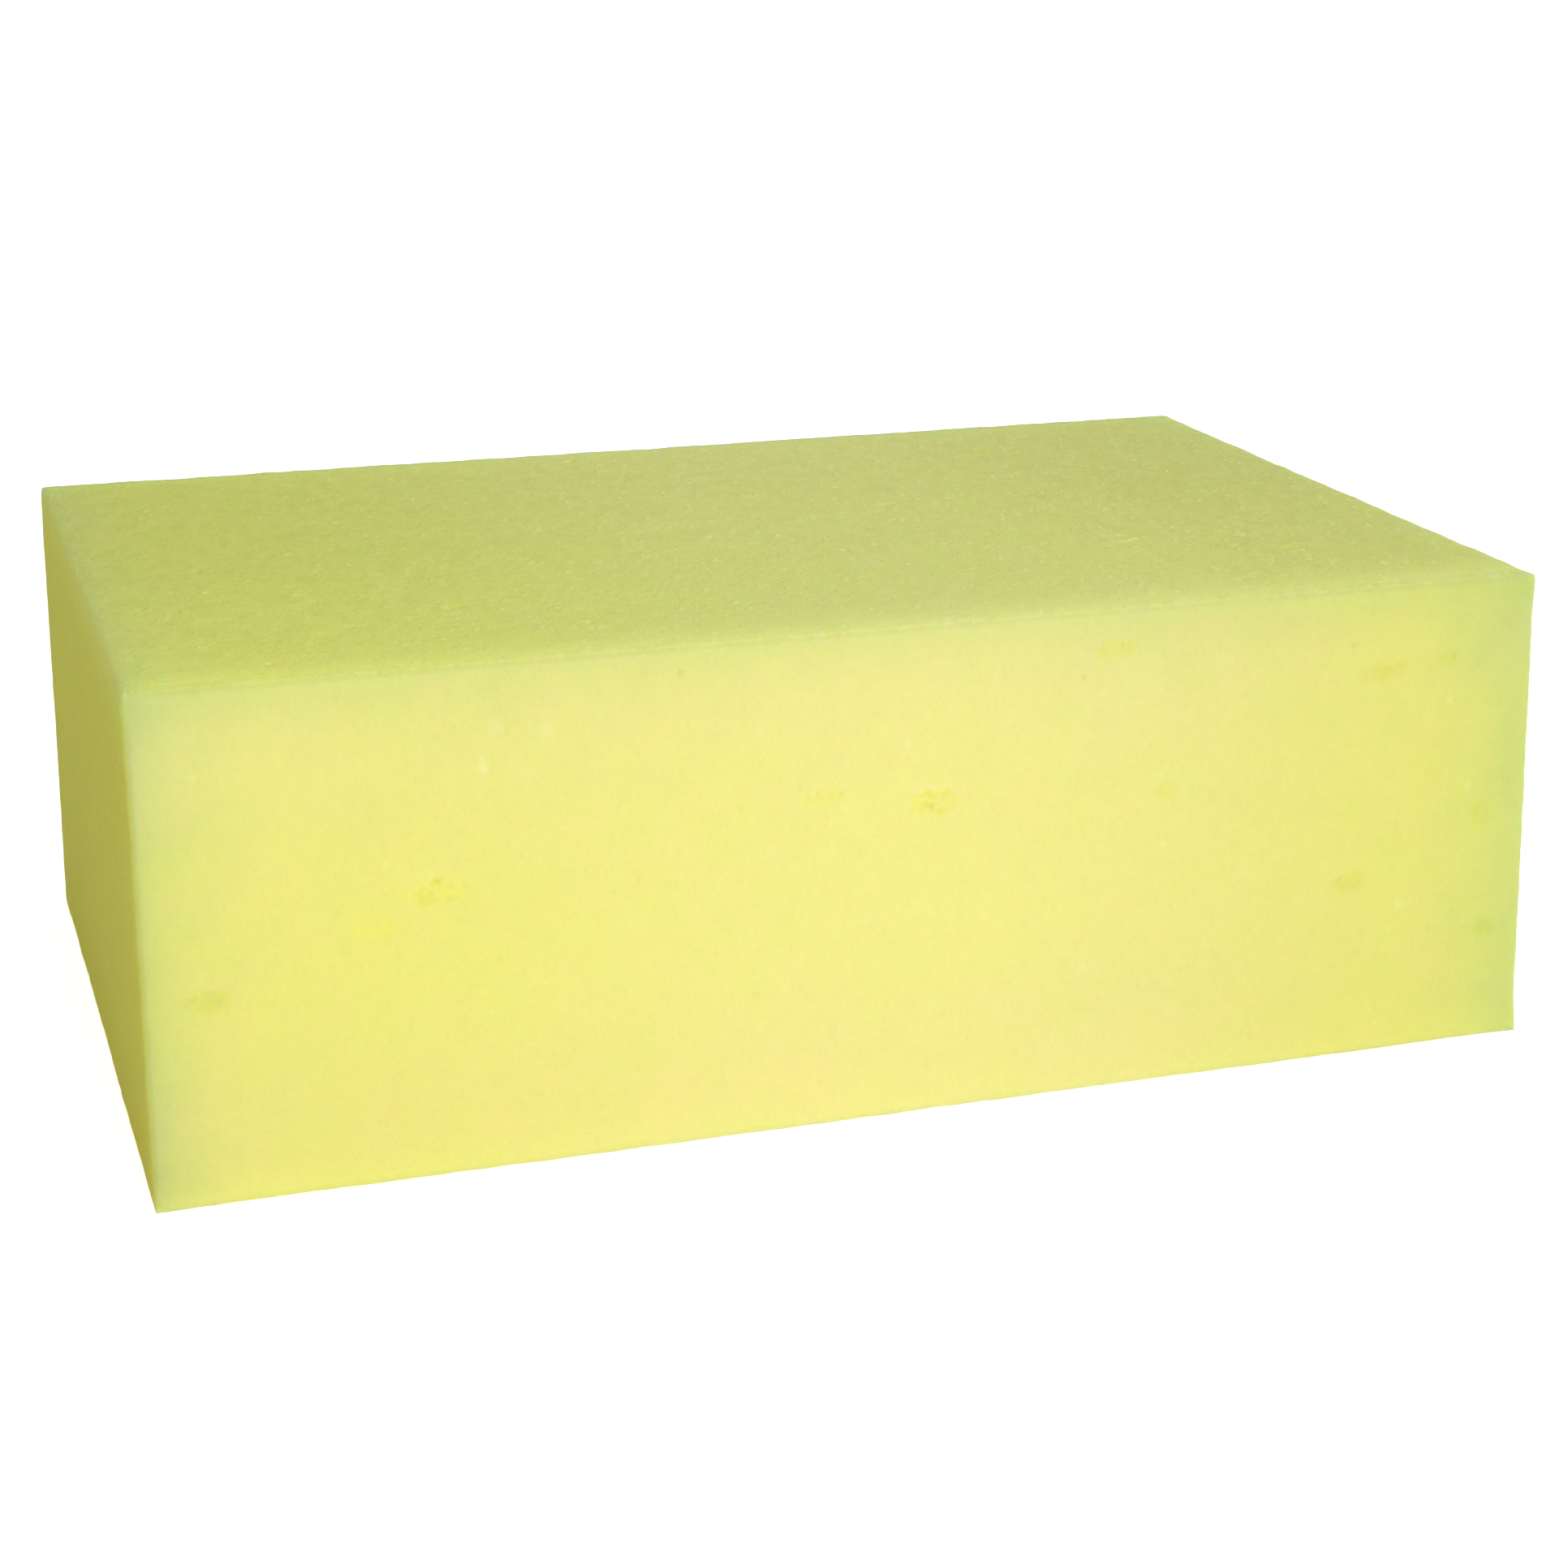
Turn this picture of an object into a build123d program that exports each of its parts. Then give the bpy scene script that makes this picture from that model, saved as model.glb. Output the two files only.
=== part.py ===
from build123d import *
import os

# Foam sponge block: one solid piece of yellow open-cell polyurethane foam,
# cut to a cuboid with slightly softened edges. All sizes in millimetres.
# Origin: centre of the bottom face. +X along the length, +Y towards the back,
# +Z up through the thickness.

LENGTH = 170.0        # along X
WIDTH = 112.0         # along Y
THICKNESS = 60.0      # along Z
EDGE_RADIUS = 1.2     # cut foam edges are soft, with no sharp arris


def make_foam_block():
    """The whole sponge: a cuboid of foam with every edge rounded."""
    block = Box(
        LENGTH, WIDTH, THICKNESS,
        align=(Align.CENTER, Align.CENTER, Align.MIN),
    )
    return fillet(block.edges(), EDGE_RADIUS)


os.makedirs("parts", exist_ok=True)

foam_block = make_foam_block()
export_step(foam_block, "parts/foam_block.step")

bb = foam_block.bounding_box()
print("foam_block size", round(bb.size.X, 3), round(bb.size.Y, 3), round(bb.size.Z, 3))
print("foam_block volume mm3", round(foam_block.volume, 1))
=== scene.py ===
import math

import bpy
import numpy as np
from mathutils import Matrix, Vector


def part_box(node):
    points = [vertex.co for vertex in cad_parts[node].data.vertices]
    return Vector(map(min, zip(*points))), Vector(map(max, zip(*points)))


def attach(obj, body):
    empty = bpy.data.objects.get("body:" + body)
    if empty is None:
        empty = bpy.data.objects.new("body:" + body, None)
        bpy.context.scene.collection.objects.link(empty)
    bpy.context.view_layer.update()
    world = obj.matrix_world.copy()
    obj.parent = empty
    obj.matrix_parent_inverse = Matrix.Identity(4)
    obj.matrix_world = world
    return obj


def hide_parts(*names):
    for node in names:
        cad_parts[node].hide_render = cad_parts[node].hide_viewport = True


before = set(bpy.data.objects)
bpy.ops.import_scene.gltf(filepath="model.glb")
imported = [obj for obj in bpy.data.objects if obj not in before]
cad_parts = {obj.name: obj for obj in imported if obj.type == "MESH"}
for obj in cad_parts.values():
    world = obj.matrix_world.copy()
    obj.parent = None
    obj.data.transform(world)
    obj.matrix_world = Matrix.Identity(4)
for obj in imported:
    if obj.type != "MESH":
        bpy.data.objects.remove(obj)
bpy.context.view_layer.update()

# --------------------------------------------------------------------------
# The block, in millimetres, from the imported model
# --------------------------------------------------------------------------
MM = 0.001
LO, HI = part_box("foam_block")
LO = np.array(LO) / MM
HI = np.array(HI) / MM
SIZE = HI - LO

EDGE_R = 1.0            # how far the cut edges are rounded
CELLS = (152, 100, 52)  # base cells of the skin between the roundings
FINE = 4                # a base cell is split into up to 4 x 4 where there are holes

# The hand-cut block is a little out of square: what each corner is off by.
# Keys are (x, y, z) as 0 or 1.
CORNER_OFF = {
    (0, 1, 1): (0.71, 0.13, 0.89),
    (1, 1, 1): (0.45, -0.06, -0.10),
    (1, 0, 1): (0.12, 0.09, -0.45),
    (1, 0, 0): (0.72, 0.10, 0.0),
    (0, 0, 0): (-0.41, -0.60, 0.0),
    (0, 1, 0): (-0.41, -0.20, 0.0),
    (0, 0, 1): (0.15, 0.02, 0.12),
    (1, 1, 0): (0.10, 0.10, 0.0),
}


# --------------------------------------------------------------------------
# Noise: seeded gradient noise in numpy, the same on each run
# --------------------------------------------------------------------------
_rng = np.random.default_rng(1907)
_PERM = np.concatenate([_rng.permutation(256)] * 3)
_GRAD = _rng.normal(size=(256, 3))
_GRAD /= np.linalg.norm(_GRAD, axis=1)[:, None]


def gradient_noise(p):
    """About -1 to 1, for an (n, 3) array of points."""
    p = np.asarray(p, float)
    base = np.floor(p).astype(int)
    f = p - base
    w = f * f * f * (f * (f * 6 - 15) + 10)
    total = np.zeros(len(p))
    for dx in (0, 1):
        for dy in (0, 1):
            for dz in (0, 1):
                i = (base + (dx, dy, dz)) & 255
                g = _GRAD[_PERM[_PERM[_PERM[i[:, 0]] + i[:, 1]] + i[:, 2]]]
                d = f - (dx, dy, dz)
                weight = (
                    (w[:, 0] if dx else 1 - w[:, 0])
                    * (w[:, 1] if dy else 1 - w[:, 1])
                    * (w[:, 2] if dz else 1 - w[:, 2])
                )
                total += weight * (g * d).sum(1)
    return total * 1.5


def smooth(edge0, edge1, x):
    t = np.clip((x - edge0) / (edge1 - edge0), 0, 1)
    return t * t * (3 - 2 * t)


# --------------------------------------------------------------------------
# Faces of the block: (axis, side, u axis, v axis), with u x v pointing out
# --------------------------------------------------------------------------
FACES = {
    "top": (2, 1, 0, 1),
    "bottom": (2, 0, 1, 0),
    "right": (0, 1, 1, 2),
    "left": (0, 0, 2, 1),
    "back": (1, 1, 2, 0),
    "front": (1, 0, 0, 2),
}

# --------------------------------------------------------------------------
# Holes in the skin, in millimetres. Each: face, centre (x, y, z) on the face,
# half-widths along the face's two axes, turn, depth.
# --------------------------------------------------------------------------
HOLES = []


def hole(face, centre, a, b, turn, depth):
    HOLES.append(
        {
            "face": face,
            "c": np.array(centre, float),
            "a": a,
            "b": b,
            "turn": turn,
            "depth": depth,
            "seed": len(HOLES) * 7.13,
        }
    )


def on_face(face, p, q):
    """The point on a face from its two in-plane coordinates, in x, y, z order."""
    axis, side, *_ = FACES[face]
    other = [i for i in range(3) if i != axis]
    c = np.zeros(3)
    c[axis] = (HI if side else LO)[axis]
    c[other[0]], c[other[1]] = p, q
    return c


PATCHES = []


def burst(face, p, q, wide, high, seed, deep=1.0, dull=0.0):
    """A void: a ragged patch where the skin is torn down to a few larger cells.

    Some are bright shreds and some, the dull ones, are in shade.
    """
    axis, side, ua, va = FACES[face]
    other = [i for i in range(3) if i != axis]
    a, b = (high, wide) if ua != other[0] else (wide, high)
    rng = np.random.default_rng(seed)
    lean = 0.10 if face == "front" else 0.35
    PATCHES.append(
        {
            "face": face,
            "c": on_face(face, p, q),
            "a": a / 2,
            "b": b / 2,
            "turn": rng.uniform(-lean, lean),
            "depth": 0.55 * deep,
            "dull": dull,
            "seed": seed * 3.37,
            "rng": rng,
        }
    )


# Front: where the foam shows its torn voids
for k, (x, z, wide, high, deep, dull) in enumerate(
    [
        (-51.9, 34.2, 7.0, 3.0, 1.25, 0.0),
        (-59.2, 30.8, 5.4, 3.2, 0.55, 0.0),
        (-78.0, 24.5, 4.6, 3.0, 0.9, 1.0),
        (6.7, 38.8, 5.8, 3.4, 1.0, 0.1),
        (-6.8, 40.6, 4.6, 2.2, 0.7, 0.1),
        (29.6, 55.3, 6.4, 2.0, 0.8, 0.5),
        (64.3, 49.6, 6.6, 3.2, 0.6, 0.6),
        (72.5, 50.4, 4.0, 2.2, 0.4, 0.5),
        (60.8, 22.9, 4.8, 2.4, 0.7, 1.0),
        (36.2, 37.3, 3.0, 2.4, 0.5, 0.5),
        (78.2, 30.2, 3.4, 3.6, 0.5, 0.5),
        (79.3, 14.9, 3.2, 2.6, 0.6, 1.0),
    ]
):
    burst("front", x, z, wide, high, 100 + k, deep, dull)

# The other faces, few and scattered
for k, (face, p, q, wide, high, deep) in enumerate(
    [
        ("top", -44.0, -31.0, 3.0, 2.2, 0.5),
        ("top", 22.0, 6.0, 2.6, 2.0, 0.5),
        ("top", 63.0, -34.0, 3.6, 2.4, 0.6),
        ("top", -12.0, 33.0, 2.8, 2.4, 0.5),
        ("top", 48.0, 38.0, 3.0, 2.0, 0.5),
        ("left", -12.0, 41.0, 3.6, 3.0, 0.8),
        ("left", 28.0, 18.0, 3.0, 2.4, 0.7),
        ("left", -38.0, 13.0, 2.6, 2.0, 0.6),
        ("right", -31.0, 22.0, 4.2, 3.0, 0.9),
        ("right", 8.0, 44.0, 3.0, 2.2, 0.7),
        ("right", 37.0, 27.0, 3.4, 2.6, 0.7),
        ("right", 14.0, 12.0, 2.6, 2.0, 0.6),
        ("back", -61.0, 19.0, 5.4, 3.0, 1.0),
        ("back", -33.0, 43.0, 3.8, 2.4, 0.7),
        ("back", -4.0, 25.0, 4.6, 2.8, 0.8),
        ("back", 24.0, 47.0, 3.0, 2.2, 0.7),
        ("back", 41.0, 16.0, 5.0, 3.2, 1.0),
        ("back", 69.0, 36.0, 3.4, 2.4, 0.7),
        ("bottom", -52.0, 21.0, 4.0, 2.6, 0.8),
        ("bottom", 18.0, -26.0, 4.4, 3.0, 0.8),
        ("bottom", 57.0, 30.0, 3.2, 2.4, 0.7),
    ]
):
    burst(face, p, q, wide, high, 300 + k, deep)

# Knots: small pale lumps of closed cells, where the cut stands a little proud; their pale colour is partly
# their own and partly a painted highlight
KNOTS = []


def knot(face, p, q, r, pale):
    KNOTS.append(
        {"face": face, "c": on_face(face, p, q), "a": r, "b": r, "turn": 0.0, "pale": pale}
    )


for p, q, r, pale in [
    (-46.3, 48.2, 0.70, 0.42), (3.6, 46.2, 0.60, 0.35), (73.7, 45.2, 0.55, 0.38),
    (67.6, 19.2, 0.60, 0.35), (35.4, 39.2, 0.50, 0.35), (27.9, 50.2, 0.50, 0.35),
    (76.6, 33.8, 0.50, 0.35), (-78.2, 50.2, 0.55, 0.30), (-44.8, 52.7, 0.80, 0.30),
    (25.7, 16.0, 0.55, 0.30), (-39.0, 51.8, 0.70, 0.22),
]:
    knot("front", p, q, r, pale)
for p, q, r, pale in [
    (-60.9, -19.4, 0.70, 0.8), (45.3, -23.7, 0.75, 0.9), (43.2, -24.6, 0.60, 0.9),
    (44.4, -20.9, 0.65, 0.8), (-37.6, -30.0, 0.60, 0.6), (-58.6, 2.7, 0.60, 0.7),
    (26.1, -35.4, 0.60, 0.7), (-29.2, 39.9, 0.65, 0.7),
]:
    knot("top", p, q, r, pale)

# Strut ends: single bristles of foam that stand out of the cut and catch the light; their pale colour is a
# painted highlight.
# Each is one point of the finest grid: face, base cell and place in it.
STRUTS = []


def struts(face, count, seed):
    rng = np.random.default_rng(seed)
    axis, side, ua, va = FACES[face]
    while count:
        i = int(rng.integers(6, BASE[ua] - 6))
        j = int(rng.integers(6, BASE[va] - 6))
        across = i / BASE[ua] if ua == 0 else j / BASE[va]
        if face == "top" and rng.random() > 0.30 + 1.6 * min(across, 0.5):
            continue
        a, b = int(rng.integers(1, 4)), int(rng.integers(1, 4))
        tall, pale = rng.uniform(0.10, 0.22), rng.uniform(0.30, 0.90) ** 1.3
        if face == "front":
            pale *= 0.4
        spots = [(a, b)]
        if rng.random() < 0.25:
            spots.append((2 if a != 2 else 3, b))
        for a, b in spots:
            fine = [0, 0, 0]
            fine[ua], fine[va] = i * FINE + a, j * FINE + b
            fine[axis] = TOP[axis] if side else 0
            STRUTS.append((face, i, j, tuple(fine), tall, pale))
        count -= 1


# Pinholes: single open bubbles, all over
_rng = np.random.default_rng(77)
_area = {
    f: SIZE[u] * SIZE[v] for f, (_, _, u, v) in FACES.items()
}
for face, area in _area.items():
    axis, side, ua, va = FACES[face]
    other = [i for i in range(3) if i != axis]
    for _ in range(int(area * 0.0016)):
        p = _rng.uniform(LO[other[0]] + 2.6, HI[other[0]] - 2.6)
        q = _rng.uniform(LO[other[1]] + 2.6, HI[other[1]] - 2.6)
        r = _rng.uniform(0.40, 0.75)
        hole(
            face,
            on_face(face, p, q),
            r,
            r * _rng.uniform(0.7, 1.0),
            _rng.uniform(0, 3.14),
            _rng.uniform(0.12, 0.34),
        )


# --------------------------------------------------------------------------
# The skin: a grid on each face of the block, finer where there are holes
# --------------------------------------------------------------------------
def rounded_lines(length, cells):
    t = EDGE_R * (1 - np.tan(np.radians([45.0, 30.0, 15.0])))
    mid = np.linspace(EDGE_R, length - EDGE_R, cells + 1)
    return np.concatenate([t, mid, (length - t)[::-1]])


LINES = [rounded_lines(SIZE[i], CELLS[i]) + LO[i] for i in range(3)]
BASE = [len(x) - 1 for x in LINES]       # base cells along each axis
TOP = [n * FINE for n in BASE]           # the highest fine index along each axis


for _face, _count in (
    ("top", 330), ("front", 10), ("bottom", 60), ("back", 34), ("left", 14), ("right", 16),
):
    struts(_face, _count, 500 + len(_face) + _count)


def at(axis, fine):
    """Millimetres from fine indices along an axis."""
    return np.interp(np.asarray(fine) / FINE, np.arange(BASE[axis] + 1), LINES[axis])


def in_hole(h, d):
    """How far out of a hole a point is, where 1 is its rim. d is (n, 2) in the face."""
    c, s = math.cos(h["turn"]), math.sin(h["turn"])
    x = (d[:, 0] * c + d[:, 1] * s) / h["a"]
    y = (-d[:, 0] * s + d[:, 1] * c) / h["b"]
    return np.hypot(x, y)


def levels(face):
    """0, 1 or 2 for each base cell of a face: how finely it is split."""
    axis, side, ua, va = FACES[face]
    u = (LINES[ua][1:] + LINES[ua][:-1]) / 2
    v = (LINES[va][1:] + LINES[va][:-1]) / 2
    level = np.zeros((BASE[ua], BASE[va]), int)
    for h in HOLES + PATCHES + KNOTS:
        if h["face"] != face:
            continue
        reach = max(h["a"], h["b"]) + 1.0
        i = np.flatnonzero(np.abs(u - h["c"][ua]) < reach)
        j = np.flatnonzero(np.abs(v - h["c"][va]) < reach)
        if not len(i) or not len(j):
            continue
        gu, gv = np.meshgrid(u[i] - h["c"][ua], v[j] - h["c"][va], indexing="ij")
        away = np.hypot(gu, gv).ravel()
        near = in_hole(h, np.stack([gu.ravel(), gv.ravel()], 1))
        size = 0.5 * (h["a"] + h["b"])
        out = (near - 1) * size
        want = np.where(out < 0.55, 2, 0)
        want = want.reshape(gu.shape)
        level[np.ix_(i, j)] = np.maximum(level[np.ix_(i, j)], want)
    for _, i, j, *_ in (one for one in STRUTS if one[0] == face):
        level[i, j] = 2
    # roundings stay at their own spacing
    for n in range(3):
        level[n, :] = level[-1 - n, :] = 0
        level[:, n] = level[:, -1 - n] = 0
    return level


def key(ijk):
    return (ijk[..., 0].astype(np.int64) * 4096 + ijk[..., 1]) * 4096 + ijk[..., 2]


quads, sizes, face_of = [], [], []
for number, (face, (axis, side, ua, va)) in enumerate(FACES.items()):
    level = levels(face)
    for lv, step in ((0, 4), (1, 2), (2, 1)):
        i, j = np.nonzero(level == lv)
        n = FINE // step
        for a in range(n):
            for b in range(n):
                u0, v0 = i * FINE + a * step, j * FINE + b * step
                q = np.zeros((len(i), 4, 3), int)
                for corner, (du, dv) in enumerate(((0, 0), (1, 0), (1, 1), (0, 1))):
                    q[:, corner, ua] = u0 + du * step
                    q[:, corner, va] = v0 + dv * step
                    q[:, corner, axis] = TOP[axis] if side else 0
                quads.append(q)
                sizes.append(np.full(len(i), step))
                face_of.append(np.full(len(i), number))
quads = np.concatenate(quads)
sizes = np.concatenate(sizes)
face_of = np.concatenate(face_of)

known = np.unique(key(quads))


def held(k):
    at_ = np.minimum(np.searchsorted(known, k), len(known) - 1)
    return known[at_] == k


# Coarse cells beside finer ones take the finer cells' corners into their outline.
extra = {}
for e in range(4):
    start, end = quads[:, e], quads[:, (e + 1) % 4]
    for m in (1, 2, 3):
        some = sizes > m
        idx = np.flatnonzero(some)
        way = np.sign(end[idx] - start[idx])
        mid = start[idx] + way * m
        for q, p in zip(idx[held(key(mid))], mid[held(key(mid))], strict=True):
            extra.setdefault(int(q), {}).setdefault(e, []).append((m, tuple(p)))

polys, poly_face = [], []
plain = np.ones(len(quads), bool)
plain[list(extra)] = False
for q in np.flatnonzero(plain):
    polys.append([tuple(c) for c in quads[q].tolist()])
    poly_face.append(face_of[q])
for q, sides in extra.items():
    ring = []
    for e in range(4):
        ring.append(tuple(quads[q, e].tolist()))
        ring += [tuple(int(x) for x in p) for _, p in sorted(sides.get(e, []))]
    middle = tuple(((quads[q, 0] + quads[q, 2]) // 2).tolist())
    for n in range(len(ring)):
        polys.append([ring[n], ring[(n + 1) % len(ring)], middle])
        poly_face.append(face_of[q])

index, grid = {}, []
loops = []
for poly in polys:
    row = []
    for p in poly:
        if p not in index:
            index[p] = len(grid)
            grid.append(p)
        row.append(index[p])
    loops.append(row)
grid = np.array(grid)
sharp = np.stack([at(i, grid[:, i]) for i in range(3)], 1)   # on the sharp block

# --------------------------------------------------------------------------
# Shape: rounded edges, holes, the cut's slight waves, then out of square
# --------------------------------------------------------------------------
inner = np.clip(sharp, LO + EDGE_R, HI - EDGE_R)
out = sharp - inner
normal = out / np.linalg.norm(out, axis=1)[:, None]
place = inner + normal * EDGE_R

# distance to the nearest edge of the block, measured over the face
gap = np.minimum(sharp - LO, HI - sharp)
edge_mm = np.sort(gap, axis=1)[:, 1]

depth = np.zeros(len(place))
torn = np.zeros(len(place))
dull = np.zeros(len(place))
for h in HOLES:
    axis, side, ua, va = FACES[h["face"]]
    d = np.stack([sharp[:, ua] - h["c"][ua], sharp[:, va] - h["c"][va]], 1)
    reach = max(h["a"], h["b"]) * 1.6
    on = np.flatnonzero(
        (np.abs(sharp[:, axis] - h["c"][axis]) < 1e-6)
        & (np.abs(d[:, 0]) < reach)
        & (np.abs(d[:, 1]) < reach)
    )
    if not len(on):
        continue
    q = in_hole(h, d[on])
    ragged = 0.22 * gradient_noise(place[on] / 0.7 + h["seed"]) + 0.12 * gradient_noise(
        place[on] / 1.9 - h["seed"]
    )
    inside = smooth(1.12, 0.45, q + ragged)
    inside *= 1 + 0.25 * gradient_noise(place[on] / 0.6 + 31)
    depth[on] = np.maximum(depth[on], h["depth"] * inside) + 0.25 * np.minimum(
        depth[on], h["depth"] * inside
    )
for h in PATCHES:
    axis, side, ua, va = FACES[h["face"]]
    d = np.stack([sharp[:, ua] - h["c"][ua], sharp[:, va] - h["c"][va]], 1)
    reach = max(h["a"], h["b"]) * 1.7
    on = np.flatnonzero(
        (np.abs(sharp[:, axis] - h["c"][axis]) < 1e-6)
        & (np.abs(d[:, 0]) < reach)
        & (np.abs(d[:, 1]) < reach)
    )
    p = place[on]
    q = in_hole(h, d[on])
    q = q + 0.38 * gradient_noise(p / 1.6 + h["seed"]) + 0.20 * gradient_noise(p / 0.7 - h["seed"])
    mask = smooth(1.20, 0.55, q)
    # the larger cells: near a few scattered centres, deepest in the middle of each
    n = int(8 + 2.2 * h["a"] * h["b"])
    centres = h["rng"].uniform(-1.35, 1.35, (n, 2)) * (h["a"] + 0.5, h["b"] + 0.5)
    warp = np.stack([gradient_noise(p / 1.1 + 11), gradient_noise(p / 1.1 + 23)], 1) * 0.30
    far = np.sort(np.linalg.norm((d[on] + warp)[:, None] - centres[None], axis=2), axis=1)
    own = np.argmin(np.linalg.norm((d[on] + warp)[:, None] - centres[None], axis=2), axis=1)
    web = smooth(0.05, 0.62, far[:, 1] - far[:, 0])      # 0 on the web between two cells
    open_ = h["rng"].uniform(0.15, 1.0, n)[own]
    depth[on] = np.maximum(depth[on], mask * h["depth"] * (0.22 + 0.78 * web * open_))
    torn[on] = np.maximum(torn[on], smooth(1.45, 0.45, q) * min(1.0, 0.40 + 1.1 * h["depth"]))
    dull[on] = np.maximum(dull[on], smooth(1.45, 0.45, q) * h["dull"])
knots = np.zeros(len(place))
for h in KNOTS:
    axis, side, ua, va = FACES[h["face"]]
    d = np.stack([sharp[:, ua] - h["c"][ua], sharp[:, va] - h["c"][va]], 1)
    on = np.flatnonzero(
        (np.abs(sharp[:, axis] - h["c"][axis]) < 1e-6)
        & (np.abs(d[:, 0]) < 2 * h["a"])
        & (np.abs(d[:, 1]) < 2 * h["a"])
    )
    q = in_hole(h, d[on]) + 0.5 * gradient_noise(place[on] / 0.6 + 7)
    knots[on] = np.maximum(knots[on], h["pale"] * smooth(1.5, 0.1, q))
stand = 0.22 * knots
where = {tuple(p): n for n, p in enumerate(grid.tolist())}
for face, i, j, fine, tall, pale in STRUTS:
    along = 1 if FACES[face][0] == 2 else 2         # they lean along the cells
    across = FACES[face][2] if FACES[face][3] == along else FACES[face][3]
    for way, step, share in (
        (along, 0, 1.0), (along, -1, 0.6), (along, 1, 0.6), (across, -1, 0.4), (across, 1, 0.4)
    ):
        spot = list(fine)
        spot[way] += step
        n = where.get(tuple(spot))
        if n is not None:
            stand[n] = max(stand[n], share * tall)
            knots[n] = max(knots[n], share * pale)
# nothing is hollowed out right at an edge
depth *= smooth(0.6, 2.4, edge_mm)

waves = (
    0.060 * gradient_noise(place / 41.0 + 5)
    + 0.045 * gradient_noise(place / 13.0 + 17)
    + 0.040 * gradient_noise(place / 5.2 + 29)
    + 0.045 * gradient_noise(place / 2.3 + 43)
)
edge_nibble = smooth(2.6, 0.4, edge_mm) * (
    0.05 * gradient_noise(place / 1.8 + 61) + 0.08 * gradient_noise(place / 4.3 + 71)
)

# --------------------------------------------------------------------------
# Tone: the foam is paler and greener where it thins out at a cut edge, and has
# yellowed a little more towards its ends. One multiplier for each point.
# --------------------------------------------------------------------------
wander = 1 + 0.30 * gradient_noise(place / 8.0 + 83) + 0.16 * gradient_noise(place / 2.7 + 91)
to_lo = (sharp - LO) * wander[:, None]
to_hi = (HI - sharp) * wander[:, None]


def rim(distance, drop, half):
    """1 less drop at an edge, and half of that is left at each half distance in."""
    fall = 0.5 ** (np.maximum(distance, 0)[:, None] / np.array(half, float)[None])
    return 1 - np.array(drop, float)[None] * fall


X, Y = sharp[:, 0], sharp[:, 1]
# the front and back: greener, duller bands beside the edges are painted light, for light scattering out
# through the next face; darker low down and darker, yellower towards the ends are painted shade where the
# light falls off
t_long = (
    rim(to_lo[:, 0], (0.26, 0.165, 0.05), (3.6, 3.0, 3.0))
    * rim(to_hi[:, 0], (0.31, 0.150, 0.00), (4.6, 4.2, 4.0))
    * rim(to_hi[:, 2], (0.185, 0.110, 0.12), (4.0, 4.0, 2.0))
    * rim(to_hi[:, 2], (0.015, 0.005, -0.06), (1.5, 1.0, 0.5))
    * rim(to_lo[:, 2], (0.03, 0.015, 0.0), (2.0, 2.0, 2.0))
)
Z = sharp[:, 2]
t_long *= (1.0, 1.0, 1.12)
t_long *= 1 - smooth(26, 4, Z)[:, None] * (0.030, 0.035, 0.0)
t_long *= (1.0, 0.992, 1.0)
t_long *= 1 - (smooth(24, 6, Z) * smooth(15, 60, X))[:, None] * (0.0, -0.012, 0.07)
t_long[:, 2] *= (
    (1 + 0.06 * smooth(38, 55, Z))
    * (1 + 0.06 * smooth(24, 6, Z))
    * (1 + 0.10 * smooth(28, 54, Z) * smooth(-15, -50, X))
)
t_long *= 1 - smooth(-5, -62, X)[:, None] * (0.045, 0.025, 0.20)
t_long *= 1 - smooth(2, 60, X)[:, None] * (0.085, 0.060, 0.0)
t_long *= 1 - smooth(25, 76, X)[:, None] * (0.0, 0.0, 0.26)
# the top and bottom: paler bands a few millimetres in from the front and back edges and a darker line right at
# them are painted highlight and painted shade that soften the fold; duller bands by the ends, a painted tint,
# and painted shade towards the back, towards both ends and at the back-left
t_large = (
    rim(to_lo[:, 1], (-0.01, -0.06, -0.20), (3.4, 3.4, 3.0))
    * rim(to_hi[:, 1], (-0.01, -0.06, -0.20), (3.4, 3.4, 3.0))
    * rim(to_lo[:, 1], (-0.084, -0.135, -0.075), (5.0, 5.0, 6.0))
    * rim(to_hi[:, 1], (-0.084, -0.135, -0.075), (5.0, 5.0, 6.0))
    * rim(to_lo[:, 1], (0.16, 0.22, 0.0), (0.9, 0.9, 0.9))
    * rim(to_hi[:, 1], (0.16, 0.22, 0.0), (0.9, 0.9, 0.9))
    * rim(to_lo[:, 1], (-0.04, -0.05, -0.03), (1.4, 1.4, 1.4))
    * rim(to_hi[:, 1], (-0.04, -0.05, -0.03), (1.4, 1.4, 1.4))
    * rim(to_lo[:, 0], (0.175, 0.110, -0.19), (4.0, 4.5, 3.0))
    * rim(to_lo[:, 0], (-0.06, -0.09, -0.02), (0.7, 0.7, 0.7))
    * rim(to_hi[:, 0], (0.14, 0.02, -0.10), (4.0, 4.0, 4.0))
)
t_large *= (1.09, 1.10, 0.92)
t_large *= 1 + 0.5 ** (np.minimum(to_lo[:, 1], to_hi[:, 1]) / 2.2)[:, None] * (
    smooth(-40, 50, X)[:, None] * (-0.010, 0.005, 0.0)
)
inward = np.minimum(Y - LO[1], HI[1] - Y)[:, None]
t_large *= 1 - np.exp(-(((inward - 0.85) / 0.60) ** 2)) * (0.092, 0.108, 0.062)
t_large *= 1 + np.exp(-(((inward - 3.2) / 1.9) ** 2)) * (0.026, 0.048, 0.012)
t_large *= 1 - smooth(-56, 56, Y)[:, None] * (0.065, 0.070, 0.0)
t_large *= 1 - smooth(10, -75, X)[:, None] * (0.080, 0.055, 0.30)
t_large *= 1 - smooth(20, 75, X)[:, None] * (0.070, 0.060, 0.11)
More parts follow.
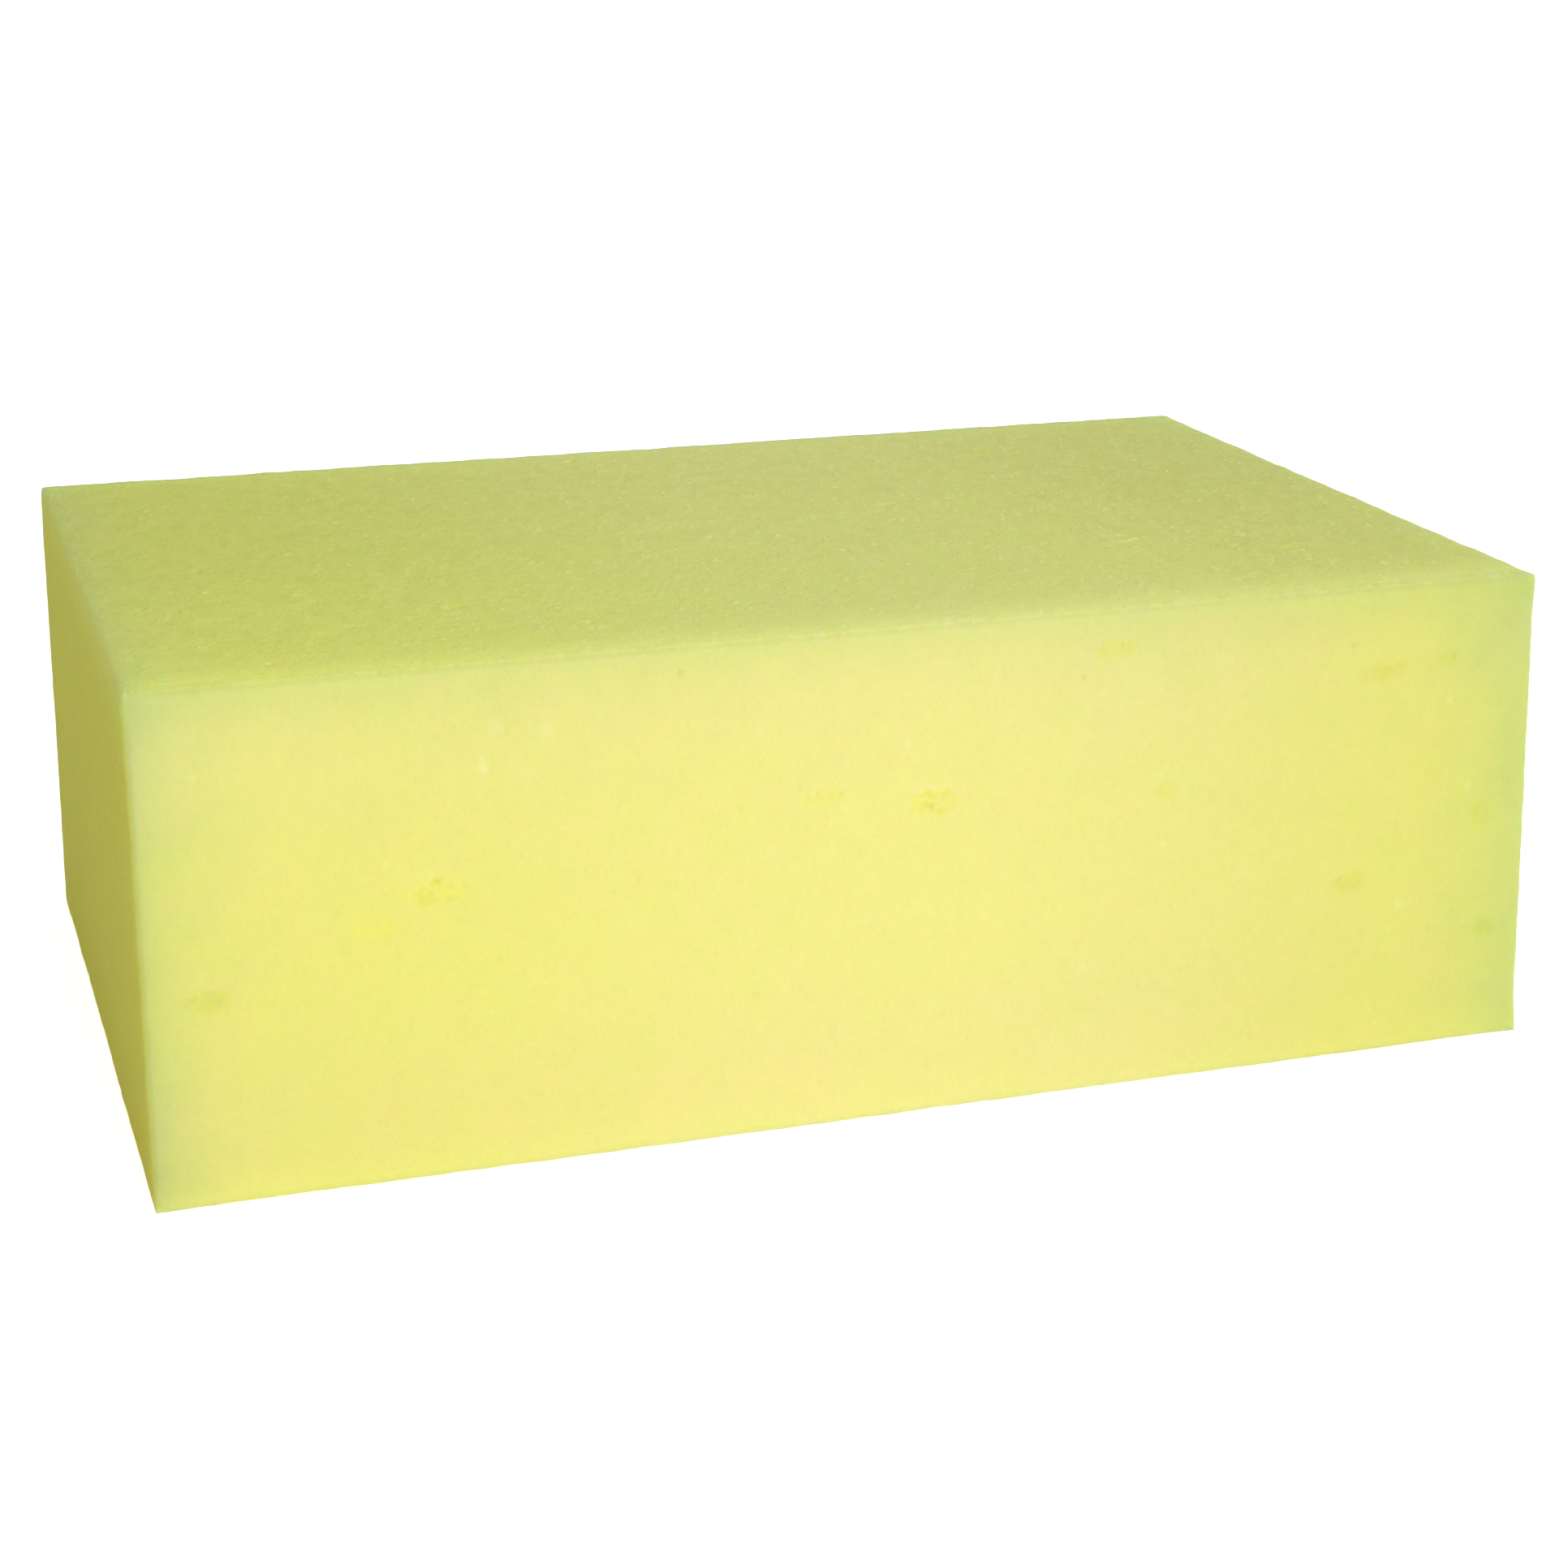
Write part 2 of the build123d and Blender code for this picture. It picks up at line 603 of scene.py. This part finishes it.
t_large *= 1 - (smooth(10, -60, X) * smooth(-50, 10, Y))[:, None] * (0.055, 0.045, 0.06)
t_large *= 1 - (smooth(30, 62, X) * smooth(52, 8, Y))[:, None] * (0.042, 0.042, 0.026)
t_large *= 1 - (smooth(38, 72, X)[:, None] * 0.5 ** (inward / 6.0)) * (0.022, 0.026, 0.0)
# the ends: the left end is painted a deep olive, painted shade for the shade it stands in, with paler, bluer
# bands at its edges; the far end keeps a paler colour with greener bands beside its edges, painted light as on
# the long faces
t_end = (
    np.array([(0.885, 0.890, 0.208)])
    * rim(to_lo[:, 1], (0.16, 0.04, -2.4), (1.0, 1.0, 0.6))
    * rim(to_hi[:, 1], (0.16, 0.04, -2.4), (1.0, 1.0, 0.6))
    * rim(to_hi[:, 2], (-0.08, -0.23, -2.1), (1.2, 2.0, 1.4))
    * rim(to_lo[:, 2], (0.0, 0.0, -0.5), (1.0, 1.0, 0.7))
)
t_far_end = (
    np.array([(0.955, 0.960, 0.74)])
    * rim(to_lo[:, 1], (0.12, 0.03, -0.10), (2.5, 2.5, 2.0))
    * rim(to_hi[:, 1], (0.12, 0.03, -0.10), (2.5, 2.5, 2.0))
    * rim(to_hi[:, 2], (0.08, 0.02, -0.10), (2.5, 2.5, 2.0))
)
t_end[:, 2] = np.minimum(t_end[:, 2], 0.70)      # no bluer where two rims meet
t_end = np.where(X[:, None] < 0, t_end, t_far_end)
belongs = normal**2
# the ends, cut along the cells, are faintly uneven up and down
streak = gradient_noise(place / (4.0, 1.8, 9.0) + 101)
blotch = gradient_noise(place / 5.5 + 113)
t_end *= 1 + streak[:, None] * (0.022, 0.020, 0.03) + blotch[:, None] * (-0.022, 0.028, 0.09)
tone = belongs[:, :1] * t_end + belongs[:, 1:2] * t_long + belongs[:, 2:] * t_large
# painted shade on the dull voids
tone *= 1 - dull[:, None] * (0.075, 0.045, 0.04)
# the folds, half way round: painted shade along the folds between the long faces and the large faces, and a
# painted highlight along the folds of the ends, strong on the left and faint on the right
tone *= 1 - 0.085 * (4 * belongs[:, 1:2] * belongs[:, 2:])
tone *= 1 + np.where(X < 0, 0.20, 0.03)[:, None] * (4 * belongs[:, :1] * belongs[:, 2:])
# the corners stay sharper than the edges
place += (sharp - place) * (0.60 * smooth(5.0, 0.5, np.linalg.norm(gap, axis=1)))[:, None]
# where it stands, the edges are pressed nearly square
place += (sharp - place) * (0.75 * smooth(3.0, 0.0, sharp[:, 2] - LO[2]))[:, None]

# the cut leaves soft shoulders: the faces fall away a little before each edge
shoulder = 0.34 * 0.5 ** (edge_mm / 1.8)
place = place + normal * (0.34 - shoulder + waves + edge_nibble + stand - depth)[:, None]

# out of square, a blend of the eight corners' offsets
t = (place - LO) / SIZE
t = np.clip(t, 0, 1)
shift = np.zeros_like(place)
for (cx, cy, cz), off in CORNER_OFF.items():
    w = (
        (t[:, 0] if cx else 1 - t[:, 0])
        * (t[:, 1] if cy else 1 - t[:, 1])
        * (t[:, 2] if cz else 1 - t[:, 2])
    )
    shift += w[:, None] * off
place = place + shift
place[:, 2] = np.maximum(place[:, 2], 0.02)      # rests on the floor, not in it

mesh = bpy.data.meshes.new("foam_sponge")
mesh.from_pydata((place * MM).tolist(), [], loops)
mesh.validate()
mesh.polygons.foreach_set("use_smooth", np.ones(len(mesh.polygons), bool))

for name, values in (
    ("foam_pit", np.clip(depth / 1.6, 0, 1)),
    ("foam_torn", torn),
    ("foam_knot", knots),
    ("foam_large", belongs[:, 2]),
):
    a = mesh.attributes.new(name, "FLOAT", "POINT")
    a.data.foreach_set("value", values.astype(np.float32))
a = mesh.attributes.new("foam_tone", "FLOAT_COLOR", "POINT")
a.data.foreach_set(
    "color", np.concatenate([tone, np.ones((len(tone), 1))], 1).astype(np.float32).ravel()
)

# A map with every face of the block at one scale, side by side
gapmm = 1.5
spots = {
    "top": (0, 0, False),
    "bottom": (0, SIZE[1] + gapmm, True),
    "front": (0, 2 * (SIZE[1] + gapmm), False),
    "left": (SIZE[0] + gapmm, 0, True),
    "right": (SIZE[0] + gapmm, SIZE[2] + gapmm, False),
    "back": (SIZE[0] + gapmm, 2 * (SIZE[2] + gapmm), False),
}
whole = 2 * (SIZE[1] + gapmm) + SIZE[2] + 2 * gapmm
whole = max(whole, 2 * (SIZE[2] + gapmm) + SIZE[0] + 2 * gapmm, SIZE[0] + SIZE[1] + 3 * gapmm)
uv = np.zeros((sum(len(r) for r in loops), 2))
names = list(FACES)
flat = np.concatenate([np.array(r) for r in loops])
which = np.repeat(np.array(poly_face), [len(r) for r in loops])
for number, face in enumerate(names):
    axis, side, ua, va = FACES[face]
    x0, y0, swap = spots[face]
    here = which == number
    p = sharp[flat[here]]
    u, v = p[:, ua] - LO[ua], p[:, va] - LO[va]
    if swap:
        u, v = v, SIZE[ua] - u       # a quarter turn, not a mirror
    uv[here, 0] = (u + x0 + gapmm) / whole
    uv[here, 1] = (v + y0 + gapmm) / whole
layer = mesh.uv_layers.new(name="OFBake")
layer.data.foreach_set("uv", uv.astype(np.float32).ravel())

sponge = bpy.data.objects.new("foam_sponge", mesh)
bpy.context.scene.collection.objects.link(sponge)
tris = sum(len(r) - 2 for r in loops)
print("SPONGE", len(place), "points", len(loops), "faces", tris, "triangles", len(HOLES), "holes")


# --------------------------------------------------------------------------
# Material: pale yellow open-cell foam
# --------------------------------------------------------------------------
class Tree:
    def __init__(self, tree):
        self.t = tree
        self.x = 0

    def node(self, kind, **values):
        n = self.t.nodes.new(kind)
        self.x += 180
        n.location = (self.x, 0)
        for k, v in values.items():
            setattr(n, k, v)
        return n

    def link(self, a, b):
        self.t.links.new(a, b)

    def feed(self, socket, value):
        if isinstance(value, bpy.types.NodeSocket):
            self.link(value, socket)
        else:
            socket.default_value = value

    def math(self, op, a, b=None, c=None, clamp=False):
        n = self.node("ShaderNodeMath", operation=op, use_clamp=clamp)
        self.feed(n.inputs[0], a)
        if b is not None:
            self.feed(n.inputs[1], b)
        if c is not None:
            self.feed(n.inputs[2], c)
        return n.outputs[0]

    def ramp(self, value, x0, x1, y0=0.0, y1=1.0, kind="SMOOTHSTEP"):
        n = self.node("ShaderNodeMapRange", interpolation_type=kind, clamp=True)
        self.feed(n.inputs["Value"], value)
        for k, v in (("From Min", x0), ("From Max", x1), ("To Min", y0), ("To Max", y1)):
            self.feed(n.inputs[k], v)
        return n.outputs["Result"]

    def scaled(self, vector, by):
        n = self.node("ShaderNodeVectorMath", operation="SCALE")
        self.feed(n.inputs[0], vector)
        n.inputs["Scale"].default_value = by
        return n.outputs["Vector"]

    def add(self, a, b):
        n = self.node("ShaderNodeVectorMath", operation="ADD")
        self.feed(n.inputs[0], a)
        self.feed(n.inputs[1], b)
        return n.outputs["Vector"]

    def noise(self, vector, scale, detail=2.0, rough=0.5, out="Fac"):
        n = self.node("ShaderNodeTexNoise")
        self.feed(n.inputs["Vector"], vector)
        n.inputs["Scale"].default_value = scale
        n.inputs["Detail"].default_value = detail
        n.inputs["Roughness"].default_value = rough
        return n.outputs[out]

    def voronoi(self, vector, scale, feature="F1", out="Distance", randomness=1.0):
        n = self.node("ShaderNodeTexVoronoi", feature=feature)
        self.feed(n.inputs["Vector"], vector)
        n.inputs["Scale"].default_value = scale
        n.inputs["Randomness"].default_value = randomness
        return n.outputs[out]

    def mix(self, factor, a, b, blend="MIX"):
        n = self.node("ShaderNodeMix", data_type="RGBA", blend_type=blend)
        self.feed(n.inputs[0], factor)
        self.feed(n.inputs[6], a)
        self.feed(n.inputs[7], b)
        return n.outputs[2]


def foam_material():
    m = bpy.data.materials.new("yellow_foam")
    m.use_nodes = True
    nt = m.node_tree
    nt.nodes.clear()
    t = Tree(nt)
    place_mm = t.scaled(t.node("ShaderNodeTexCoord").outputs["Object"], 1000.0)

    # bend the space a little, so that the cells aren't all alike
    bend = t.node("ShaderNodeVectorMath", operation="SUBTRACT")
    t.feed(bend.inputs[0], t.noise(place_mm, 0.45, 2.0, 0.5, "Color"))
    bend.inputs[1].default_value = (0.5, 0.5, 0.5)
    space = t.add(place_mm, t.scaled(bend.outputs["Vector"], 0.9))

    # open cells, two sizes: 1 in the middle of a pore, 0 on a strut
    pores_a = t.ramp(t.voronoi(space, 1 / 1.05, "DISTANCE_TO_EDGE"), 0.02, 0.34)
    pores_b = t.ramp(t.voronoi(space, 1 / 0.55, "DISTANCE_TO_EDGE"), 0.02, 0.34)
    split = t.node("ShaderNodeSeparateColor")
    t.feed(split.inputs[0], t.voronoi(space, 1 / 1.05, "F1", "Color"))
    open_a = t.ramp(split.outputs[0], 0.25, 0.95, 0.05, 1.0)   # how open each cell is
    pore = t.math("MULTIPLY_ADD", pores_b, 0.35, t.math("MULTIPLY", t.math("MULTIPLY", pores_a, open_a), 0.65))

    # the cells are drawn out a little across the block, not quite square to it
    askew = t.node("ShaderNodeVectorRotate", rotation_type="Z_AXIS")
    t.feed(askew.inputs["Vector"], place_mm)
    askew.inputs["Angle"].default_value = math.radians(16)
    drawn = t.node("ShaderNodeVectorMath", operation="MULTIPLY")
    t.feed(drawn.inputs[0], askew.outputs[0])
    drawn.inputs[1].default_value = (1.0, 0.42, 1.0)
    drawn = drawn.outputs["Vector"]

    # small pale glints: strut ends that stand up a little and catch the light; they bump the surface and are a
    # painted highlight in the colour
    split2 = t.node("ShaderNodeSeparateColor")
    t.feed(split2.inputs[0], t.voronoi(drawn, 1 / 1.15, "F1", "Color"))
    lit_up = t.ramp(split2.outputs[1], 0.45, 1.0, kind="LINEAR")
    glint = t.math(
        "MULTIPLY",
        t.math("POWER", lit_up, 2.4),
        t.ramp(t.voronoi(drawn, 1 / 1.15, "F1", "Distance"), 0.56, 0.06),
    )
    # in loose flocks
    glint = t.math("MULTIPLY", glint, t.ramp(t.noise(place_mm, 1 / 17.0, 2.0, 0.5), 0.36, 0.60, 0.35, 1.0))

    large = t.node("ShaderNodeAttribute", attribute_name="foam_large").outputs["Fac"]
    spark = t.math("MULTIPLY", glint, t.ramp(large, 0.90, 1.0))    # none in the folds
    along = t.node("ShaderNodeSeparateXYZ")
    t.feed(along.inputs[0], place_mm)
    spark = t.math("MULTIPLY", spark, t.ramp(along.outputs[0], -80.0, 0.0, 0.45, 1.0))
    pit = t.node("ShaderNodeAttribute", attribute_name="foam_pit").outputs["Fac"]
    torn = t.node("ShaderNodeAttribute", attribute_name="foam_torn").outputs["Fac"]
    tone = t.node("ShaderNodeAttribute", attribute_name="foam_tone").outputs["Color"]

    # differences in tone, broad to fine: greener, then creamier
    broad = t.noise(place_mm, 1 / 34.0, 2.0, 0.5)
    mottle = t.noise(place_mm, 1 / 6.5, 3.0, 0.55)
    fine = t.noise(place_mm, 1 / 1.5, 2.0, 0.6)
    base = t.mix(t.ramp(mottle, 0.32, 0.68), (0.912, 0.866, 0.250, 1), (0.940, 0.854, 0.268, 1))
    base = t.mix(t.ramp(broad, 0.3, 0.7, 0.0, 0.5), base, (0.935, 0.866, 0.262, 1))

    # cell by cell: painted shade inside the pores, and each cell painted a little lighter or darker as if its
    # facets faced the light their own way; all of it shows most on the two large faces, cut across the cells
    strong = t.ramp(large, 0.0, 1.0, 0.0, 1.0)
    value = t.math("MULTIPLY_ADD", pore, t.math("MULTIPLY_ADD", strong, -0.026, -0.018), 1.0)
    facing = t.math("SUBTRACT", split.outputs[1], 0.5)
    value = t.math("MULTIPLY_ADD", facing, t.math("MULTIPLY_ADD", strong, 0.025, 0.005), value)
    grain = t.math("SUBTRACT", t.noise(place_mm, 1 / 0.9, 1.0, 0.5), 0.5)
    value = t.math("MULTIPLY_ADD", grain, t.math("MULTIPLY_ADD", strong, 0.015, 0.014), value)
    clumps = t.math("SUBTRACT", t.noise(drawn, 1 / 2.1, 2.0, 0.5), 0.5)
    value = t.math("MULTIPLY_ADD", clumps, t.math("MULTIPLY_ADD", strong, 0.165, 0.02), value)
    grey = t.node("ShaderNodeCombineColor")
    t.feed(grey.inputs[0], value)
    t.feed(grey.inputs[1], value)
    t.feed(grey.inputs[2], t.math("POWER", value, 1.25))
    base = t.mix(1.0, base, grey.outputs[0], "MULTIPLY")
    base = t.mix(t.ramp(fine, 0.25, 0.75, 0.0, 0.16), base, (0.950, 0.890, 0.300, 1))
    # painted highlight: the glints lighten the colour, most on the large faces
    base = t.mix(
        t.math("MULTIPLY_ADD", spark, 0.75, t.math("MULTIPLY", glint, 0.12)),
        base,
        (0.990, 0.970, 0.360, 1),
    )
    # the torn voids: bare, more open foam, in shreds, painted a deeper yellow that stands in for light
    # scattering inside them; the pits a darker, deeper yellow, painted shade
    shreds = t.ramp(t.noise(place_mm, 1 / 1.1, 2.0, 0.6), 0.30, 0.60, 0.30, 0.85)
    base = t.mix(t.math("MULTIPLY", torn, shreds), base, (0.990, 0.903, 0.195, 1))
    base = t.mix(t.ramp(pit, 0.02, 0.75, 0.0, 0.25), base, (0.950, 0.850, 0.160, 1))
    lumps = t.node("ShaderNodeAttribute", attribute_name="foam_knot").outputs["Fac"]
    # knots and strut ends: a pale colour, partly a painted highlight
    base = t.mix(lumps, base, (0.990, 0.970, 0.440, 1))
    base = t.mix(1.0, base, tone, "MULTIPLY")
    # painted highlight: at the glints the colour is lifted further still
    lift = t.math("MULTIPLY_ADD", spark, 0.24, 1.0)
    lifted = t.node("ShaderNodeCombineColor")
    for n in range(3):
        t.feed(lifted.inputs[n], lift)
    base = t.mix(1.0, base, lifted.outputs[0], "MULTIPLY")
    # the two large faces, cut across the block, are a touch greener: a painted tint for the cooler light from
    # overhead
    base = t.mix(large, base, (0.965, 1.0, 1.03, 1), "MULTIPLY")

    bump = t.node("ShaderNodeBump")
    bump.inputs["Strength"].default_value = 0.6
    bump.inputs["Distance"].default_value = 0.00030
    height = t.math("MULTIPLY", pore, t.math("MULTIPLY_ADD", strong, -0.33, -0.32))
    t.feed(
        bump.inputs["Height"],
        t.math("MULTIPLY_ADD", glint, t.math("MULTIPLY_ADD", strong, 0.5, 0.2), height),
    )

    p = t.node("ShaderNodeBsdfPrincipled")
    t.feed(p.inputs["Base Color"], base)
    rough = t.math("MULTIPLY_ADD", glint, -0.40, t.ramp(pore, 0, 1, 0.80, 0.95))
    # the strut ends shine a little
    t.feed(p.inputs["Roughness"], t.math("MULTIPLY_ADD", lumps, -0.35, rough))
    p.inputs["IOR"].default_value = 1.45
    p.inputs["Specular IOR Level"].default_value = 0.22
    soft = t.math("MULTIPLY_ADD", lumps, -0.70, 0.75)
    soft = t.math("MULTIPLY_ADD", spark, -0.65, soft)
    t.feed(p.inputs["Subsurface Weight"], t.math("MAXIMUM", soft, 0.05))
    p.inputs["Subsurface Radius"].default_value = (8.0, 5.0, 2.0)
    p.inputs["Subsurface Scale"].default_value = 0.001
    t.feed(
        p.inputs["Sheen Weight"],
        t.math("MULTIPLY_ADD", spark, 0.92, 0.08),
    )
    p.inputs["Sheen Roughness"].default_value = 0.5
    p.inputs["Sheen Tint"].default_value = (1.0, 0.98, 0.55, 1)
    t.link(bump.outputs["Normal"], p.inputs["Normal"])
    o = t.node("ShaderNodeOutputMaterial")
    t.link(p.outputs[0], o.inputs["Surface"])
    return m


mesh.materials.append(foam_material())
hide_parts("foam_block")
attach(sponge, "root")


# --------------------------------------------------------------------------
# Floor, light, camera
# --------------------------------------------------------------------------
scene = bpy.context.scene


def floor_material():
    m = bpy.data.materials.new("pale_floor")
    m.use_nodes = True
    nt = m.node_tree
    p = nt.nodes["Principled BSDF"]
    p.inputs["Base Color"].default_value = (0.80, 0.80, 0.80, 1)
    p.inputs["Roughness"].default_value = 1.0
    p.inputs["Specular IOR Level"].default_value = 0.0
    # a white sweep: what the lens sees is lifted to white, what lights the foam is less
    p.inputs["Emission Color"].default_value = (1.0, 0.985, 0.985, 1)
    t = Tree(nt)
    lens = t.node("ShaderNodeLightPath").outputs["Is Camera Ray"]
    t.link(t.math("MULTIPLY_ADD", lens, 0.46, 0.39), p.inputs["Emission Strength"])
    return m


bpy.ops.mesh.primitive_circle_add(vertices=128, radius=12.0, fill_type="NGON", location=(0, 0, 0))
floor = bpy.context.object
floor.name = "floor"
floor.data.materials.append(floor_material())

world = bpy.data.worlds.new("studio")
scene.world = world
world.use_nodes = True
wt = Tree(world.node_tree)
world.node_tree.nodes.clear()
path = wt.node("ShaderNodeLightPath")
seen = wt.node("ShaderNodeBackground")
seen.inputs["Color"].default_value = (0.99, 0.99, 0.99, 1)
seen.inputs["Strength"].default_value = 1.0
lit = wt.node("ShaderNodeBackground")
lit.inputs["Color"].default_value = (1.0, 1.0, 1.0, 1)
lit.inputs["Strength"].default_value = 0.01
both = wt.node("ShaderNodeMixShader")
wt.link(path.outputs["Is Camera Ray"], both.inputs[0])
wt.link(lit.outputs[0], both.inputs[1])
wt.link(seen.outputs[0], both.inputs[2])
wo = wt.node("ShaderNodeOutputWorld")
wt.link(both.outputs[0], wo.inputs["Surface"])


def sun(name, towards, strength, angle, colour):
    d = bpy.data.lights.new(name, "SUN")
    d.energy = strength
    d.angle = math.radians(angle)
    d.color = colour
    o = bpy.data.objects.new(name, d)
    o.rotation_mode = "QUATERNION"
    o.rotation_quaternion = Vector(towards).to_track_quat("-Z", "Y")
    scene.collection.objects.link(o)
    return o


def softbox(name, where, at_, size, power, colour):
    d = bpy.data.lights.new(name, "AREA")
    d.shape = "RECTANGLE"
    d.size, d.size_y = size
    d.energy = power
    d.color = colour
    o = bpy.data.objects.new(name, d)
    o.location = where
    o.rotation_mode = "QUATERNION"
    o.rotation_quaternion = (Vector(at_) - Vector(where)).to_track_quat("-Z", "Y")
    scene.collection.objects.link(o)
    return o


softbox("key", (-0.02, -1.05, 0.42), (0.0, 0.0, 0.03), (0.55, 0.45), 5.25, (0.99, 0.99, 1.0))
sun("overhead", (-0.42, 0.05, -1.0), 1.854, 70, (0.932, 1.0, 0.971))

cam = bpy.data.cameras.new("camera")
cam.sensor_width = 36.0
cam.lens = 72.623
cam.clip_start = 0.01
cam.clip_end = 100.0
camera = bpy.data.objects.new("camera", cam)
right = Vector((0.95514652, -0.29590295, -0.01168584))
up = Vector((0.09738555, 0.27659523, 0.95603929))
back = Vector((-0.2796626, -0.91429564, 0.29300565))
camera.matrix_world = Matrix.Translation(Vector((-0.11258, -0.38776, 0.14896))) @ Matrix(
    (right, up, back)
).transposed().to_4x4()
scene.collection.objects.link(camera)
scene.camera = camera

scene.view_settings.view_transform = "Standard"
scene.view_settings.look = "None"
scene.view_settings.exposure = 0.0
scene.view_settings.gamma = 1.0
